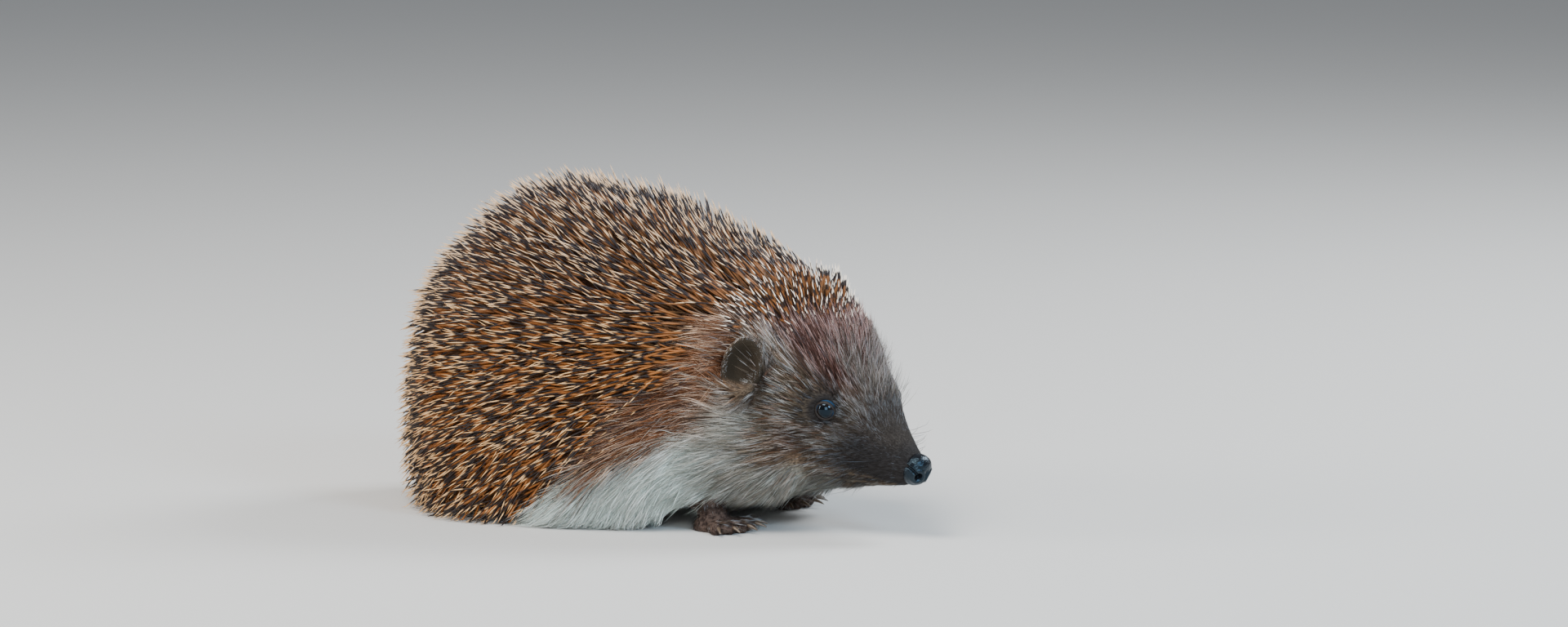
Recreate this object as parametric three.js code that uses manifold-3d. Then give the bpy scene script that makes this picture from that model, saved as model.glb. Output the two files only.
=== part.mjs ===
// A life-size hedgehog, crouched with its head low and turned a little to its right, as a still
// model. Millimetres, +Z up, +X towards the nose, +Y to the animal's left, the floor at z = 0.
// The solids reach out to the tips of the spines and of the fur, and thin cuts part the body
// into trunk, neck, head and lower jaw.
import * as THREE from "three";
import { mergeVertices } from "three/addons/utils/BufferGeometryUtils.js";
import Module from "manifold-3d";

const wasm = await Module();
wasm.setup();

// ---- Driving dimensions ----
const FLOOR = 0;
const GAP = 0.3; // clear space between neighbouring pieces

const RUMP_X = -94; // tips of the hindmost spines
const BROW_X = 69; // front of the spiny hood over the forehead
const RUMP_ROUND = 56; // length over which the rump closes
const BROW_ROUND = 27; // length over which the hood closes
const BEND_FROM_X = 10; // forward of here the hood follows the turned head
const SKIRT_CLEAR = 1; // how far the lowest spines of the flanks stay above the floor
const BELLY_HOLLOW = { x: -10, long: 150, wide: 90, high: 12 }; // room for the folded legs

const HEAD_LENGTH = 66; // from the nose's tip to deep inside the neck
const HEAD_PITCH = 25; // degrees that the snout points below level
const HEAD_YAW = -10; // degrees that the head turns, to the animal's right
const NECK_PIVOT = new THREE.Vector3(26.5, 0, 47); // the point that the head turns about

// Places in the head's own axes: forward, aside and up from the nose's tip.
const EYE_AT = [-29.3, 15, 7];
const EYE_RADIUS = 3.1;
const EYE_FACING = 62; // degrees that the eye looks outwards from straight ahead
const EYE_DISH = { radius: 8.5, deep: 2.3 }; // the hollow of short fur that the eye sits in
const EAR_AT = [-52, 30, 10];
const EAR = { high: 19, wide: 12.4, deep: 6.5, wall: 1.1 };
const EAR_LEAN = -8; // degrees that its top leans back
const EAR_FLARE = 12; // degrees that its top leans outwards
const EAR_FACING = 60; // degrees that it opens outwards from straight ahead
const NOSE = { long: 8, wide: 9.4, high: 9.8, back: 2.4, rise: 0.4 };
const NOSTRIL = { radius: 1, forward: 2.9, aside: 2.5, turn: 35 };
const MOUTH = { front: -3, back: -28, height: -5.2, slope: 22 };

// Each left paw stands back from x by its step, and each right one as far ahead.
const FORE_PAW = { x: 20, y: 25, long: 13, wide: 12, high: 6.4, toe: 6.6, turn: 6, step: 4 };
const HIND_PAW = { x: -36, y: 26, long: 28, wide: 11.5, high: 6.4, toe: 7, turn: 8, step: -4 };
const TOES = 5;
const TOE_RADIUS = 2;
const TOE_SPREAD = 21; // degrees from one toe to the next
const CLAW = { fore: 5.6, hind: 5, radius: 0.85, bend: 34 };
const FORE_LEG = { radius: 5.6, top: 22, lean: 4 };
const HIND_LEG = { radius: 6.4, top: 23, lean: -5 };
const TAIL = { from: [-56, 0, 12], to: [-76, 0, 5], radius: 3 };

const COLOURS = {
  spines: 0x6b4a30,
  face: 0x5a4738,
  ear: 0x6e5b49,
  limb: 0x54443a,
  nose: 0x15161a,
  eye: 0x08080a,
  claw: 0x3a322c,
};
const DULL = 0.85;
const HORNY = 0.5;
const MOIST = 0.25;
const POLISHED = 0.08;

const SIDES = { right: -1, left: 1 };
const radians = THREE.MathUtils.degToRad;

// ---- Making and cutting solids ----
function solidOf(geometry) {
  geometry.deleteAttribute("normal");
  geometry.deleteAttribute("uv");
  const merged = mergeVertices(geometry, 1e-4);
  return new wasm.Manifold(
    new wasm.Mesh({
      numProp: 3,
      vertProperties: merged.attributes.position.array,
      triVerts: new Uint32Array(merged.index.array),
    }),
  );
}

function meshOf(solid, name, colour, roughness) {
  const { vertProperties, triVerts } = solid.getMesh();
  const geometry = new THREE.BufferGeometry();
  geometry.setAttribute("position", new THREE.BufferAttribute(vertProperties, 3));
  geometry.setIndex(new THREE.BufferAttribute(triVerts, 1));
  geometry.computeVertexNormals();
  const material = new THREE.MeshStandardMaterial({ color: colour, roughness, metalness: 0 });
  const mesh = new THREE.Mesh(geometry, material);
  mesh.name = name;
  return mesh;
}

function box(low, high) {
  const [x, y, z] = low.map((value, axis) => (value + high[axis]) / 2);
  return new THREE.BoxGeometry(...high.map((value, axis) => value - low[axis])).translate(x, y, z);
}

const FAR = 400; // beyond every side of the animal
const above = (level) => solidOf(box([-FAR, -FAR, level], [FAR, FAR, FAR]));

// An ellipsoid of these whole sizes, grown on every side.
function ellipsoid(long, wide, high, grow = 0, around = 14, rings = 9) {
  return new THREE.SphereGeometry(1, around, rings).scale(
    long / 2 + grow,
    wide / 2 + grow,
    high / 2 + grow,
  );
}

function capsule(from, to, radius, grow = 0) {
  const direction = new THREE.Vector3().subVectors(to, from);
  const middle = new THREE.Vector3().addVectors(from, to).multiplyScalar(0.5);
  const turn = new THREE.Quaternion().setFromUnitVectors(
    new THREE.Vector3(0, 1, 0),
    direction.clone().normalize(),
  );
  return new THREE.CapsuleGeometry(radius + grow, direction.length(), 2, 8)
    .applyQuaternion(turn)
    .translate(middle.x, middle.y, middle.z);
}

// A sphere with its poles on X, each of whose points goes where place(share along, angle round)
// says. Angle 0 is +Y and a quarter turn is +Z.
function shaped(around, rings, place) {
  const geometry = new THREE.SphereGeometry(1, around, rings);
  const points = geometry.attributes.position;
  for (let i = 0; i < points.count; i++) {
    const along = Math.acos(THREE.MathUtils.clamp(-points.getY(i), -1, 1)) / Math.PI;
    const angle = Math.atan2(points.getX(i), points.getZ(i));
    points.setXYZ(i, ...place(along, angle));
  }
  return geometry;
}

// Values at stations along a length, joined by a smooth curve.
function smoothLine(stations, key) {
  const curve = new THREE.CubicInterpolant(
    stations.map((station) => station.at),
    stations.map((station) => station[key]),
    1,
  );
  return (at) => curve.evaluate(at)[0];
}

// Stations crowd together towards both ends, where the shape rounds off.
const station = (low, high, along) =>
  THREE.MathUtils.lerp(low, high, (1 - Math.cos(Math.PI * along)) / 2);

// From 0 at an end to 1 at a distance of length from it, round like a quarter of an ellipse.
function roundEnd(distance, length) {
  const left = 1 - THREE.MathUtils.clamp(distance / length, 0, 1);
  return Math.sqrt(1 - left ** 2);
}

// One point of a section that is a rounded box, fuller as its powers rise above 2.
function sectionPoint(angle, half, middle, top, bottom, fullness) {
  const side = Math.cos(angle);
  const rise = Math.sin(angle);
  const height = rise > 0 ? top - middle : middle - bottom;
  const power = 2 / (rise > 0 ? fullness.above : fullness.below);
  return [
    half * Math.sign(side) * Math.abs(side) ** power,
    middle + height * Math.sign(rise) * Math.abs(rise) ** power,
  ];
}

// ---- The coated body: back, flanks and the hood of spines over the forehead ----
const BODY = [
  { at: -94, half: 49, top: 95, bottom: -3, middle: 27 },
  { at: -65, half: 52, top: 99, bottom: -3, middle: 27 },
  { at: -35, half: 53, top: 100.5, bottom: -2, middle: 28 },
  { at: 0, half: 45.5, top: 94.5, bottom: 1.5, middle: 31 },
  { at: 28, half: 34.5, top: 83.5, bottom: 6, middle: 37 },
  { at: 50, half: 25.5, top: 74, bottom: 12.5, middle: 46 },
  { at: 69, half: 18.5, top: 65, bottom: 38, middle: 49 },
];
const BODY_FULLNESS = { above: 2.25, below: 4.5 };
const bodyHalf = smoothLine(BODY, "half");
const bodyTop = smoothLine(BODY, "top");
const bodyBottom = smoothLine(BODY, "bottom");
const bodyMiddle = smoothLine(BODY, "middle");

// How far aside the body's middle line lies, so that the hood follows the turned head.
function bend(x) {
  const past = Math.max(0, x - BEND_FROM_X);
  return (Math.tan(radians(HEAD_YAW)) * past ** 2) / (2 * (BROW_X - BEND_FROM_X));
}

function bodyPlace(along, angle) {
  const x = station(RUMP_X, BROW_X, along);
  const closing = roundEnd(x - RUMP_X, RUMP_ROUND) * roundEnd(BROW_X - x, BROW_ROUND);
  const middle = bodyMiddle(x);
  const [y, z] = sectionPoint(
    angle,
    closing * bodyHalf(x),
    middle,
    middle + closing * (bodyTop(x) - middle),
    middle - closing * (middle - bodyBottom(x)),
    BODY_FULLNESS,
  );
  return [x, y + bend(x), z];
}

// ---- The head, in its own axes: nose tip at the origin, +X forward along the snout ----
const HEAD = [
  { at: -66, half: 30, up: 22, down: 36 },
  { at: -52, half: 29, up: 26, down: 36 },
  { at: -40, half: 25.5, up: 26.5, down: 31.5 },
  { at: -31, half: 20.5, up: 22.5, down: 25 },
  { at: -23, half: 15, up: 16.4, down: 18.8 },
  { at: -15, half: 10.4, up: 10.4, down: 13.2 },
  { at: -7, half: 6.8, up: 6, down: 8.4 },
  { at: 0, half: 4.6, up: 4, down: 5 },
];
const HEAD_FULLNESS = { above: 2.1, below: 2.1 };
const SNOUT_ROUND = 3;
const NAPE_ROUND = 20;
const headHalf = smoothLine(HEAD, "half");
const headUp = smoothLine(HEAD, "up");
const headDown = smoothLine(HEAD, "down");

function headPlace(along, angle) {
  const x = station(-HEAD_LENGTH, 0, along);
  const closing = roundEnd(x + HEAD_LENGTH, NAPE_ROUND) * roundEnd(-x, SNOUT_ROUND);
  return [
    x,
    ...sectionPoint(
      angle,
      closing * headHalf(x),
      0,
      closing * headUp(x),
      -closing * headDown(x),
      HEAD_FULLNESS,
    ),
  ];
}

// From the head's own axes to the animal's.
const headFrame = new THREE.Object3D();
headFrame.rotation.set(0, radians(HEAD_PITCH), radians(HEAD_YAW), "ZYX");
headFrame.position.set(HEAD_LENGTH, 0, 0).applyEuler(headFrame.rotation).add(NECK_PIVOT);
headFrame.updateMatrix();
const inHead = (geometry) => solidOf(geometry.applyMatrix4(headFrame.matrix));
const onSide = ([x, y, z], side) => [x, side * y, z];

// ---- Eyes, and the dish round each ----
function eye(side, grow = 0) {
  const across = 2 * EYE_RADIUS;
  return inHead(ellipsoid(across, across, across, grow).translate(...onSide(EYE_AT, side)));
}

function eyeDish(side) {
  const across = 2 * EYE_DISH.radius;
  return inHead(
    ellipsoid(across, across, across, 0, 16, 10)
      .translate(EYE_DISH.radius + EYE_RADIUS - EYE_DISH.deep, 0, 0)
      .rotateZ(radians(side * EYE_FACING))
      .translate(...onSide(EYE_AT, side)),
  );
}

// ---- Ears: each a shallow cup that opens outwards and a little forwards ----
function earShell(side, grow = 0, forward = 0, thinner = 0) {
  return inHead(
    ellipsoid(EAR.deep - thinner, EAR.wide - thinner, EAR.high - thinner, grow, 12, 8)
      .translate(forward, 0, 0)
      .rotateY(radians(EAR_LEAN - HEAD_PITCH))
      .rotateX(radians(-side * EAR_FLARE))
      .rotateZ(radians(side * EAR_FACING))
      .translate(...onSide(EAR_AT, side)),
  );
}

const EAR_CUP_FORWARD = 0.42 * EAR.deep;
const ear = (side) =>
  earShell(side).subtract(earShell(side, 0, EAR_CUP_FORWARD, 2 * EAR.wall));

// ---- The bare nose, with a nostril on each side ----
const nosePad = (grow = 0) =>
  inHead(
    ellipsoid(NOSE.long, NOSE.wide, NOSE.high, grow, 16, 10).translate(-NOSE.back, 0, NOSE.rise),
  );

const nostril = (side) =>
  inHead(
    ellipsoid(4 * NOSTRIL.radius, 2 * NOSTRIL.radius, 2.6 * NOSTRIL.radius, 0, 8, 6)
      .rotateZ(radians(side * NOSTRIL.turn))
      .translate(NOSTRIL.forward - NOSE.back, side * NOSTRIL.aside, -NOSTRIL.radius / 10),
  );

// ---- Lower jaw: what lies under the mouth's line, back to below the eye ----
const jawRoom = (grow) =>
  inHead(
    box([MOUTH.back - MOUTH.front - grow, -FAR, -FAR], [FAR, FAR, grow])
      .rotateY(radians(-MOUTH.slope))
      .translate(MOUTH.front, 0, MOUTH.height),
  );

// ---- Paws and claws ----
const pawX = (paw, side) => paw.x - side * paw.step;

// Puts a shape made round a paw's own middle, pointing forward, where the paw stands.
const atPaw = (geometry, paw, side) =>
  solidOf(
    geometry
      .rotateZ(radians(side * paw.turn))
      .translate(pawX(paw, side), side * paw.y, FLOOR),
  );

// The toes fan out from the front of the pad, the middle one the longest.
function toeLine(paw, toe) {
  const fromMiddle = toe - (TOES - 1) / 2;
  const angle = radians(fromMiddle * TOE_SPREAD);
  const start = new THREE.Vector3(
    paw.long / 2 - 2 * TOE_RADIUS,
    fromMiddle * paw.wide * 0.17,
    TOE_RADIUS * 0.8,
  );
  const reach = (paw.toe + TOE_RADIUS / 2) * (1 - 0.09 * Math.abs(fromMiddle) ** 1.5);
  const end = new THREE.Vector3(Math.cos(angle), Math.sin(angle), 0)
    .multiplyScalar(reach)
    .add(start);
  return { start, end, angle };
}

const toeSolid = (paw, side, toe, grow = 0) => {
  const { start, end } = toeLine(paw, toe);
  return atPaw(capsule(start, end, TOE_RADIUS, grow), paw, side);
};

function pawSolid(paw, side) {
  let made = atPaw(ellipsoid(paw.long, paw.wide, 2 * paw.high, 0, 14, 8), paw, side);
  for (let toe = 0; toe < TOES; toe++) made = made.add(toeSolid(paw, side, toe));
  return made.intersect(above(FLOOR));
}

// A claw bends down as it leaves the toe: a round section that narrows along an arc.
function clawSolid(paw, side, toe, length) {
  const { end, angle } = toeLine(paw, toe);
  const bend = radians(CLAW.bend);
  const claw = shaped(5, 4, (along, around) => {
    const turned = along * bend;
    const radius = CLAW.radius * roundEnd(along * length, CLAW.radius) * (1 - along) ** 0.7;
    const out = radius * Math.sin(around);
    return [
      (length * Math.sin(turned)) / bend + out * Math.sin(turned),
      radius * Math.cos(around),
      (length * (Math.cos(turned) - 1)) / bend + out * Math.cos(turned),
    ];
  });
  const root = TOE_RADIUS * 0.55;
  claw
    .rotateZ(angle)
    .translate(
      end.x + root * Math.cos(angle),
      end.y + root * Math.sin(angle),
      TOE_RADIUS * 1.25,
    );
  return atPaw(claw, paw, side).subtract(toeSolid(paw, side, toe, GAP));
}

// ---- Legs: each goes up from its paw into the body ----
const LEG_FOOT = 7; // the height of its lower end's middle
const legSolid = (leg, paw, side, grow = 0) => {
  const x = pawX(paw, side);
  const top = new THREE.Vector3(x - Math.abs(leg.lean), side * (paw.y - 1), leg.top);
  const foot = new THREE.Vector3(x + Math.min(leg.lean, 0) - 2, side * paw.y, LEG_FOOT);
  return solidOf(capsule(top, foot, leg.radius, grow));
};

// ---- Tail: a short bare stub under the rump ----
const tail = (grow = 0) =>
  solidOf(
    capsule(new THREE.Vector3(...TAIL.from), new THREE.Vector3(...TAIL.to), TAIL.radius, grow),
  );

// ---- The whole coated animal, then parted by thin cuts ----
const bellyHollow = solidOf(
  ellipsoid(BELLY_HOLLOW.long, BELLY_HOLLOW.wide, 2 * BELLY_HOLLOW.high, 0, 28, 10).translate(
    BELLY_HOLLOW.x,
    0,
    FLOOR,
  ),
);
const coated = solidOf(shaped(36, 28, bodyPlace))
  .add(inHead(shaped(28, 20, headPlace)))
  .intersect(above(FLOOR + SKIRT_CLEAR))
  .subtract(bellyHollow);

// Space in front of a plane that crosses the body at x and leans back at the top.
const CUT_LEVEL = 46;
const inFrontOf = (x, lean) =>
  solidOf(
    box([0, -FAR, -FAR], [FAR, FAR, FAR])
      .rotateY(radians(-lean))
      .rotateZ(radians(HEAD_YAW / 2))
      .translate(x, 0, CUT_LEVEL),
  );
const inFrontOfNape = (gap) => inFrontOf(27 + gap, 0);
const inFrontOfShoulder = (gap) => inFrontOf(16 + gap, 30);

const hedgehog = new THREE.Group();
const addPart = (solid, name, colour, roughness = DULL) =>
  hedgehog.add(meshOf(solid, name, colour, roughness));

const beforeShoulder = coated.intersect(inFrontOfShoulder(GAP));
let head = beforeShoulder.intersect(inFrontOfNape(GAP));
let nose = nosePad();
for (const side of Object.values(SIDES)) {
  head = head.subtract(eyeDish(side)).subtract(eye(side, GAP)).subtract(earShell(side, GAP));
  nose = nose.subtract(nostril(side));
}
addPart(head.subtract(jawRoom(GAP)).subtract(nosePad(GAP)), "head", COLOURS.face);
addPart(head.intersect(jawRoom(0)).subtract(nosePad(GAP)), "lower_jaw", COLOURS.face);
addPart(nose, "nose", COLOURS.nose, MOIST);
addPart(beforeShoulder.subtract(inFrontOfNape(0)), "neck", COLOURS.spines);

let trunk = coated.subtract(inFrontOfShoulder(0)).subtract(tail(GAP));
const LIMBS = {
  fore: { paw: FORE_PAW, leg: FORE_LEG },
  hind: { paw: HIND_PAW, leg: HIND_LEG },
};
for (const [word, side] of Object.entries(SIDES)) {
  addPart(eye(side), `eye_${word}`, COLOURS.eye, POLISHED);
  addPart(ear(side), `ear_${word}`, COLOURS.ear);
  for (const [kind, { paw, leg }] of Object.entries(LIMBS)) {
    const ankle = paw.high - GAP;
    const sole = pawSolid(paw, side).subtract(above(ankle - GAP));
    const shank = legSolid(leg, paw, side).intersect(above(ankle));
    addPart(sole, `${kind}_paw_${word}`, COLOURS.limb);
    addPart(shank, `${kind}_leg_${word}`, COLOURS.limb);
    trunk = trunk.subtract(legSolid(leg, paw, side, GAP));
    for (let toe = 0; toe < TOES; toe++) {
      const claw = clawSolid(paw, side, toe, CLAW[kind]);
      addPart(claw, `${kind}_claw_${word}_${toe + 1}`, COLOURS.claw, HORNY);
    }
  }
}
addPart(trunk, "trunk", COLOURS.spines);
addPart(tail(), "tail", COLOURS.limb);

// The origin is on the floor, under the middle of the animal's length and width.
const reach = new THREE.Box3().setFromObject(hedgehog);
const centre = reach.getCenter(new THREE.Vector3());
hedgehog.position.set(-centre.x, -centre.y, -reach.min.z);

export default hedgehog;
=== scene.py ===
import math

import bpy
import numpy as np
from mathutils import Matrix, Vector, noise
from mathutils.bvhtree import BVHTree


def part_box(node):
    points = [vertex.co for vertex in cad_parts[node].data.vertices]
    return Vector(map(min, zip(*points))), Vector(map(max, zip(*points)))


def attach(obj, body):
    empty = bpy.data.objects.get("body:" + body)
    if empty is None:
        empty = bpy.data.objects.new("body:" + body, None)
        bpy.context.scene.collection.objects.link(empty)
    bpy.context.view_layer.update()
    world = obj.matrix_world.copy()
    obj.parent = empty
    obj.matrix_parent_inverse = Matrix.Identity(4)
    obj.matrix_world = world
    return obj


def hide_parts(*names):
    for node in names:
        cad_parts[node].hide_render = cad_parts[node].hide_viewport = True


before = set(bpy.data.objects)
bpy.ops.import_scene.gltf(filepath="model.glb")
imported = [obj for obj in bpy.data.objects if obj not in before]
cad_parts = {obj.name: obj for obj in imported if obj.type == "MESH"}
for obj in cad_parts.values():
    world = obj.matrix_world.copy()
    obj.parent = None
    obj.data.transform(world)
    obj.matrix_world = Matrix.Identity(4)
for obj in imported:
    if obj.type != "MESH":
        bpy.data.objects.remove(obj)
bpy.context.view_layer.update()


# ---- Hide ----
# The hide of trunk, neck, head, jaw, ears, legs, paws and tail is one skin with no seam. It lies
# under the outline of the solids by the depth of the coat: deep under the spines and the long
# hair of the flanks, and almost nothing on the muzzle and the paws. Lids rim both eyes.
MM = 0.001
HEAD_PITCH = math.radians(25)
HEAD_YAW = math.radians(-10)
NOSE_AT = np.array([-2.4, 0, 0.4])
SIDES = {"right": -1, "left": 1}
EYE_AT = {name: np.array([-29.3, 15.0 * side, 7.0]) for name, side in SIDES.items()}
EAR_FOOT = {name: np.array([-54.0, 29.0 * side, 4.0]) for name, side in SIDES.items()}
BODY_NODES = ["trunk", "neck", "head", "lower_jaw"]
PAIRS = ("fore", "hind")
LIMB_NODES = [f"{pair}_{part}_{name}" for pair in PAIRS for part in ("leg", "paw") for name in SIDES]
SMALL_NODES = LIMB_NODES + ["tail"] + [f"ear_{name}" for name in SIDES]

head_turn = Matrix.Rotation(HEAD_YAW, 3, "Z") @ Matrix.Rotation(HEAD_PITCH, 3, "Y")
nose_low, nose_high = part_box("nose")
HEAD_AXES = np.array(head_turn)
SNOUT_TIP = np.array((nose_low + nose_high) / 2 - head_turn @ (Vector(NOSE_AT) * MM))


def in_head(points):
    """Points in the head's own axes: millimetres forward, aside and up from the snout's tip."""
    return (np.asarray(points) - SNOUT_TIP) @ HEAD_AXES / MM


def from_head(places):
    return SNOUT_TIP + np.asarray(places, float) * MM @ HEAD_AXES.T


def ramp(values, low, high):
    """0 up to low and 1 from high on, with a smooth rise between them."""
    share = np.clip((np.asarray(values, float) - low) / (high - low), 0, 1)
    return share * share * (3 - 2 * share)


def fall(values, low, high):
    """1 up to low and 0 from high on."""
    return 1 - ramp(values, low, high)


def near(points, centre, radius):
    """1 at a centre, falling smoothly to 0 at the radius."""
    return fall(np.linalg.norm(points - np.asarray(centre), axis=1) / radius, 0, 1)


def near_pair(points, centres, radius):
    """The same for a pair of centres, which lie too far apart for both to reach a place."""
    return np.maximum(*(near(points, centre, radius) for centre in centres.values()))


def unit(vectors):
    return vectors / np.maximum(np.linalg.norm(vectors, axis=-1, keepdims=True), 1e-12)


def rows(items, what, width, kind=float):
    """One value of each of a mesh's items, such as the place of each point, as rows."""
    values = np.empty(len(items) * width, kind)
    items.foreach_get(what, values)
    return values.reshape(-1, width)


def read(piece, what="co"):
    """The places or the normals of a piece's points."""
    return rows(piece.data.vertices, what, 3)


def move_points(piece, points):
    piece.data.vertices.foreach_set("co", points.ravel())
    piece.data.update()


def select_only(*pieces):
    bpy.ops.object.select_all(action="DESELECT")
    for piece in pieces:
        piece.select_set(True)
    bpy.context.view_layer.objects.active = pieces[0]


def smooth(piece):
    piece.data.polygons.foreach_set("use_smooth", np.ones(len(piece.data.polygons), bool))


def edit_all(piece, operator, **settings):
    """Runs one of Blender's mesh operators on the whole of a piece."""
    select_only(piece)
    bpy.ops.object.mode_set(mode="EDIT")
    bpy.ops.mesh.select_all(action="SELECT")
    operator(**settings)
    bpy.ops.object.mode_set(mode="OBJECT")


def join(*pieces):
    select_only(*pieces)
    bpy.ops.object.join()
    return bpy.context.object


def apply_modifier(piece, kind, **settings):
    select_only(piece)
    modifier = piece.modifiers.new(kind.lower(), kind)
    for key, value in settings.items():
        setattr(modifier, key, value)
    bpy.ops.object.modifier_apply(modifier=modifier.name)


def soften(piece, times):
    """Evens a surface out a little, this many times over."""
    apply_modifier(piece, "SMOOTH", factor=0.5, iterations=times)


WELD_GAP = 0.001 * MM


def welded_copy(name, nodes):
    """One mesh of copies of these solids, with their loose triangles welded."""
    copies = []
    for node in nodes:
        copy = bpy.data.objects.new(name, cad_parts[node].data.copy())
        bpy.context.scene.collection.objects.link(copy)
        copies.append(copy)
    welded = join(*copies) if len(copies) > 1 else copies[0]
    welded.data.materials.clear()
    edit_all(welded, bpy.ops.mesh.remove_doubles, threshold=WELD_GAP)
    return welded


# How deep the hide lies under the tips of the coat, in millimetres: on the muzzle, and then what
# each other part of the animal adds to that. The sides of the belly and the hem at the floor have
# thinner coat. Round the eyes and the ears, a share of the depth is taken off.
DEPTH = {
    "muzzle": 0.45, "cheeks": 2.9, "spines": 6.5, "crest": 4.5, "rump": 2.0, "forehead": 2.6,
    "low_flank": -3.5, "hem": -3.5, "nose": 2.6,
}
LEAST_DEPTH = 0.3
MOST_DEPTH = 16
THIN_BY_EYE = 0.85
THIN_BY_EAR = 0.7


def coat_depth(points):
    """How deep the hide lies under the tips of the coat, in millimetres."""
    head = in_head(points)
    x, _, z = (points / MM).T
    behind = -head[:, 0]
    on_crown = behind - 9 * ramp(head[:, 2], 8, 20)
    depth = DEPTH["muzzle"] + DEPTH["cheeks"] * ramp(behind, 6, 52)
    depth += DEPTH["spines"] * ramp(on_crown, 50, 70)
    depth += DEPTH["crest"] * ramp(z, 60, 90) * ramp(-x, -66, -40)
    depth += DEPTH["rump"] * ramp(-x, 50, 85)
    forehead = ramp(head[:, 2], 9, 24) * ramp(behind, 14, 30) * fall(behind, 50, 66)
    depth += DEPTH["forehead"] * forehead
    depth += DEPTH["low_flank"] * fall(z, 22, 38) * ramp(x, -30, -8) * ramp(behind, 50, 66)
    depth += DEPTH["hem"] * fall(z, 2, 14) * ramp(-x, -60, -30)
    depth += DEPTH["nose"] * near(head, (0, 0, 0.4), 6)
    depth *= 1 - THIN_BY_EYE * near_pair(head, EYE_AT, 9)
    depth *= 1 - THIN_BY_EAR * near_pair(head, EAR_FOOT, 20)
    return np.clip(depth, LEAST_DEPTH, MOST_DEPTH)


CORE_VOXEL = 1.3 * MM
HIDE_VOXEL = 0.9 * MM
SHRINK_STEPS = 8
DEEPEST = MOST_DEPTH * MM
SWELL = 0.2 * MM
EAR_ROOT = {"ahead": -52, "aside": 25, "up": 4, "radii": (6.5, 6, 9)}


def ellipsoid(name, centre, radii, segments=32, rings=16):
    """An ellipsoid in the head's axes, its middle and its radii in millimetres."""
    bpy.ops.object.select_all(action="DESELECT")
    bpy.ops.mesh.primitive_uv_sphere_add(segments=segments, ring_count=rings, radius=1)
    piece = bpy.context.object
    piece.name = name
    move_points(piece, from_head(read(piece) * np.array(radii) + np.array(centre)))
    return piece


def ear_roots():
    """The mound of muscle that each ear stands on."""
    places = [(EAR_ROOT["ahead"], side * EAR_ROOT["aside"], EAR_ROOT["up"]) for side in SIDES.values()]
    return [ellipsoid("ear_root", place, EAR_ROOT["radii"]) for place in places]


def largest_shell(piece):
    """Deletes every loose shell but the largest, such as the walls of sealed hollows."""
    edit_all(piece, bpy.ops.mesh.separate, type="LOOSE")
    shells = sorted(bpy.context.selected_objects, key=lambda shell: -len(shell.data.vertices))
    for shell in shells[1:]:
        bpy.data.objects.remove(shell)
    return shells[0]


# Copies of the solids swell a little, so that the thin cuts between them close when they are
# meshed as one. That skin then sinks by the depth of the coat, in steps that are each softened.
core = [welded_copy("core", ["neck", "head", "lower_jaw", "nose", "eye_right", "eye_left"])]
apply_modifier(core[0], "DISPLACE", strength=SWELL, mid_level=0)
core.append(welded_copy("trunk_hull", ["trunk"]))
edit_all(core[1], bpy.ops.mesh.convex_hull)
hide = join(*core, *ear_roots())
apply_modifier(hide, "REMESH", mode="VOXEL", voxel_size=CORE_VOXEL)
hide = largest_shell(hide)
hide.name = "hide"
soften(hide, 4)
depth_group = hide.vertex_groups.new(name="depth")
for index, depth in enumerate(coat_depth(read(hide))):
    depth_group.add([index], float(depth * MM / DEEPEST), "REPLACE")
for _ in range(SHRINK_STEPS):
    apply_modifier(hide, "DISPLACE", strength=-DEEPEST / SHRINK_STEPS, mid_level=0, vertex_group="depth")
    soften(hide, 2)
hide.vertex_groups.clear()

limbs = welded_copy("limbs", SMALL_NODES)
apply_modifier(limbs, "DISPLACE", strength=SWELL, mid_level=0)
hide = join(hide, limbs, *ear_roots())
apply_modifier(hide, "REMESH", mode="VOXEL", voxel_size=HIDE_VOXEL)
soften(hide, 5)
hide = largest_shell(hide)
hide.name = "hide"

# The face is cut finer. The mouth's line, the eye sockets and the cups of the ears are sunk into
# it; flat is how far a hollow's floor reaches and edge is where it ends.
FACE_BACK = -36
MOUTH = {"front": -3.5, "back": -26, "height": -5.2, "drop": 0.404, "deep": 0.9, "half_width": 0.6}
EYE_RADIUS = 3.1
EYE_TURN = math.radians(62)
SOCKET = {"floor": 0.3, "flat": 2.5, "edge": 3.4, "up": 0.05}
EAR_CUP = {"deep": 2.6, "flat": 0.25, "edge": 0.95}
FLOOR_GAP = 0.02 * MM
EAR_AT = {name: np.array([-52.0, 30.0 * side, 10.0]) for name, side in SIDES.items()}
EAR_HALF = np.array([3.6, 6.2, 9.5])


def ear_axes(side):
    """An ear's own axes, in the head's: the way it opens, across it and up it."""
    turned = Matrix.Rotation(math.radians(60 * side), 3, "Z")
    flared = Matrix.Rotation(math.radians(-12 * side), 3, "X")
    leaned = Matrix.Rotation(math.radians(-33), 3, "Y")
    return np.array(turned @ flared @ leaned)


def in_ear(points, name):
    """The places in an ear's own axes, in millimetres from its middle."""
    return (in_head(points) - EAR_AT[name]) @ ear_axes(SIDES[name])


def out_of_ear(own):
    """How far out of an ear's middle these places lie, where 1 is on its outside."""
    return np.linalg.norm(own / EAR_HALF, axis=1)


def across_ear(own):
    """The same seen from in front of the ear, where 1 is its edge."""
    return np.hypot(own[:, 1] / EAR_HALF[1], own[:, 2] / EAR_HALF[2])


def off_ears(points):
    """0 inside and on the ears and 1 clear of them, on the hide in front, above and behind."""
    clear = np.ones(len(points))
    for name in SIDES:
        own = in_ear(points, name)
        clear = np.minimum(clear, np.maximum(ramp(out_of_ear(own), 1.1, 1.35), own[:, 2] < -7))
    return clear


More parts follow.
